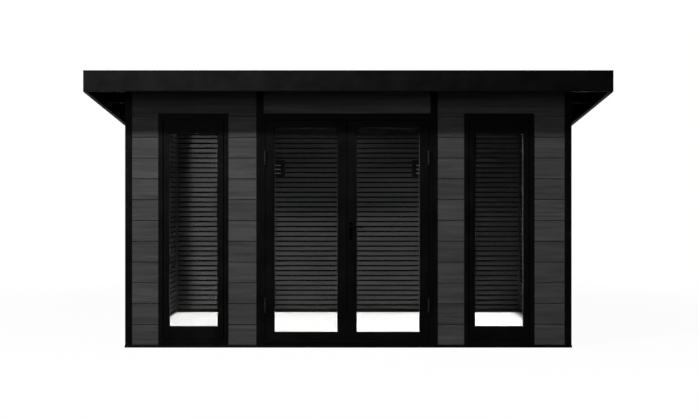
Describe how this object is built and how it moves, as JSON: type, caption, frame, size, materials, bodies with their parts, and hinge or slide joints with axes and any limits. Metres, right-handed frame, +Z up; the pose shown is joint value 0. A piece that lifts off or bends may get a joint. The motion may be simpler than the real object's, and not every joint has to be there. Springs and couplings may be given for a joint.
{
  "type": "garden room shed",
  "caption": "Pent-roofed garden room with dark board cladding, glazed double doors that open outwards on hinges, tall fixed windows, slotted vents and a pale floor.",
  "frame": {"origin": "on the ground at the middle of the plan", "axes": "+X to the right seen from the front, front faces -Y, +Z up"},
  "size_m": [4.626, 3.626, 2.455],
  "materials": {
    "black_frame": "satin black powder coat",
    "boards": "dark grey wood-plastic composite with a grain",
    "slats": "dark grey composite slats",
    "wall_core": "black backing behind the boards and slats",
    "floor": "pale floor laminate",
    "glass": "clear sealed double glazing",
    "threshold_metal": "satin dark coat",
    "hinge_metal": "satin dark coat",
    "handle_metal": "satin dark coat",
    "soffit": "black coated panel",
    "roof_membrane": "matt roofing membrane",
    "fascia": "satin black folded sheet",
    "vent": "black vent grille"
  },
  "bodies": {
    "root": {"base_rail_front": "black_frame", "base_rail_back": "black_frame", "base_rail_left": "black_frame", "base_rail_right": "black_frame", "floor_panel": "floor", "corner_post_front_left": "black_frame", "corner_post_front_right": "black_frame", "corner_post_back_left": "black_frame", "corner_post_back_right": "black_frame", "door_post_left": "black_frame", "door_post_right": "black_frame", "front_wall_left": "wall_core", "front_wall_right": "wall_core", "front_wall_over_doors": "wall_core", "left_wall": "wall_core", "right_wall": "wall_core", "back_wall": "wall_core", "front_cladding": "boards", "left_cladding": "boards", "right_cladding": "boards", "back_cladding": "boards", "left_lining": "slats", "right_lining": "slats", "back_lining": "slats", "window_frame_left": "black_frame", "window_frame_right": "black_frame", "window_sash_left": "black_frame", "window_sash_right": "black_frame", "window_glass_left": "glass", "window_glass_right": "glass", "door_frame": "black_frame", "door_threshold": "threshold_metal", "left_hinge_posts": "hinge_metal", "right_hinge_posts": "hinge_metal", "roof_panels": "soffit", "roof_covering": "roof_membrane", "fascia_front": "fascia", "fascia_back": "fascia", "fascia_left": "fascia", "fascia_right": "fascia", "back_vents": "vent", "vent_grilles": "vent", "vent_hoods": "vent"},
    "left_door": {"left_door_leaf": "black_frame", "left_door_glass": "glass", "left_hinge_leaves": "hinge_metal"},
    "right_door": {"right_door_leaf": "black_frame", "right_door_glass": "glass", "right_hinge_leaves": "hinge_metal", "door_handle_plates": "handle_metal"},
    "lever": {"door_lever": "handle_metal"}
  },
  "joints": [
    {"name": "left_door_hinge", "type": "hinge", "parent": "root", "child": "left_door", "pos_m": [-0.7445, -1.511, 1], "axis": [0, 0, -1], "range_deg": [0, 110]},
    {"name": "right_door_hinge", "type": "hinge", "parent": "root", "child": "right_door", "pos_m": [0.7205, -1.511, 1], "axis": [0, 0, 1], "range_deg": [0, 110]},
    {"name": "lever_turn", "type": "hinge", "parent": "right_door", "child": "lever", "pos_m": [0.021, -1.5, 1.082], "axis": [0, 1, 0], "range_deg": [0, 35], "stiffness_Nm_per_rad": 1.2, "springref_deg": -28.65}
  ]
}
